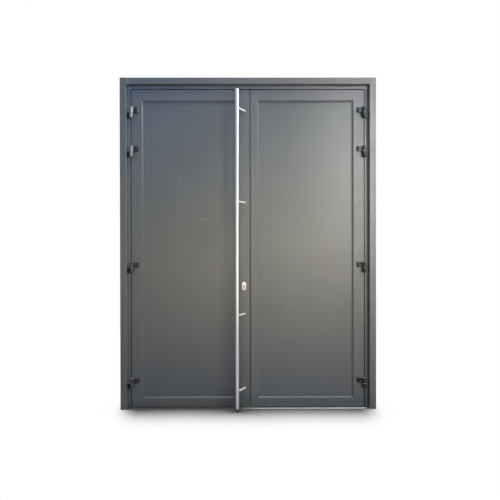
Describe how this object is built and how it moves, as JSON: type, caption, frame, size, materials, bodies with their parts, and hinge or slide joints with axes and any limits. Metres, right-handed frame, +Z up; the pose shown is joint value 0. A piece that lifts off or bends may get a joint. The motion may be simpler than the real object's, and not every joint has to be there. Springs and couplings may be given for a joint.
{
  "type": "double front door with frame",
  "caption": "Flush aluminium double front door in a proud casing: recessed flat panels, barrel hinges, sill and a tall round pull bar.",
  "frame": {"origin": "underside of the sill plate, middle of the width, in the plane of the outer faces of the leaves", "axes": "+X to the right seen from outside, +Y into the building, +Z up"},
  "size_m": [1.93, 0.175, 2.5],
  "materials": {
    "frame_paint": "satin",
    "leaf_paint": "satin",
    "panel_paint": "satin",
    "hinge_paint": "semi-gloss",
    "stainless": "brushed",
    "lock_metal": "satin",
    "sill_aluminium": "mill",
    "black_rubber": "matt"
  },
  "bodies": {
    "frame": {"casing_jamb_left": "frame_paint", "casing_jamb_right": "frame_paint", "casing_head": "frame_paint", "frame_jamb_left": "frame_paint", "frame_jamb_right": "frame_paint", "frame_head": "frame_paint", "frame_seal": "black_rubber", "sill": "sill_aluminium", "left_hinge_1_frame_wing": "hinge_paint", "left_hinge_2_frame_wing": "hinge_paint", "left_hinge_3_frame_wing": "hinge_paint", "left_hinge_4_frame_wing": "hinge_paint", "left_hinge_pins": "stainless", "right_hinge_1_frame_wing": "hinge_paint", "right_hinge_2_frame_wing": "hinge_paint", "right_hinge_3_frame_wing": "hinge_paint", "right_hinge_4_frame_wing": "hinge_paint", "right_hinge_pins": "stainless"},
    "active_leaf": {"active_hinge_stile": "leaf_paint", "active_meeting_stile": "leaf_paint", "active_top_rail": "leaf_paint", "active_bottom_rail": "leaf_paint", "active_panel": "panel_paint", "active_outside_bead": "leaf_paint", "active_inside_bead": "leaf_paint", "active_panel_gaskets": "black_rubber", "active_drop_seal": "black_rubber", "left_hinge_1_leaf_wing": "hinge_paint", "left_hinge_2_leaf_wing": "hinge_paint", "left_hinge_3_leaf_wing": "hinge_paint", "left_hinge_4_leaf_wing": "hinge_paint", "lock_faceplate": "stainless", "pull_bar": "stainless", "pull_standoffs": "stainless", "escutcheon_outside": "lock_metal", "escutcheon_inside": "lock_metal", "lock_cylinder": "lock_metal"},
    "passive_leaf": {"passive_hinge_stile": "leaf_paint", "passive_meeting_stile": "leaf_paint", "passive_top_rail": "leaf_paint", "passive_bottom_rail": "leaf_paint", "passive_panel": "panel_paint", "passive_outside_bead": "leaf_paint", "passive_inside_bead": "leaf_paint", "passive_panel_gaskets": "black_rubber", "passive_drop_seal": "black_rubber", "right_hinge_1_leaf_wing": "hinge_paint", "right_hinge_2_leaf_wing": "hinge_paint", "right_hinge_3_leaf_wing": "hinge_paint", "right_hinge_4_leaf_wing": "hinge_paint", "strike_plate": "stainless", "flush_bolts": "stainless", "meeting_seal": "black_rubber"}
  },
  "joints": [
    {"name": "active_swing", "type": "hinge", "parent": "frame", "child": "active_leaf", "pos_m": [-0.881, -0.018, 0], "axis": [0, 0, -1], "range_deg": [0, 150]},
    {"name": "passive_swing", "type": "hinge", "parent": "frame", "child": "passive_leaf", "pos_m": [0.881, -0.018, 0], "axis": [0, 0, 1], "range_deg": [0, 150]}
  ]
}
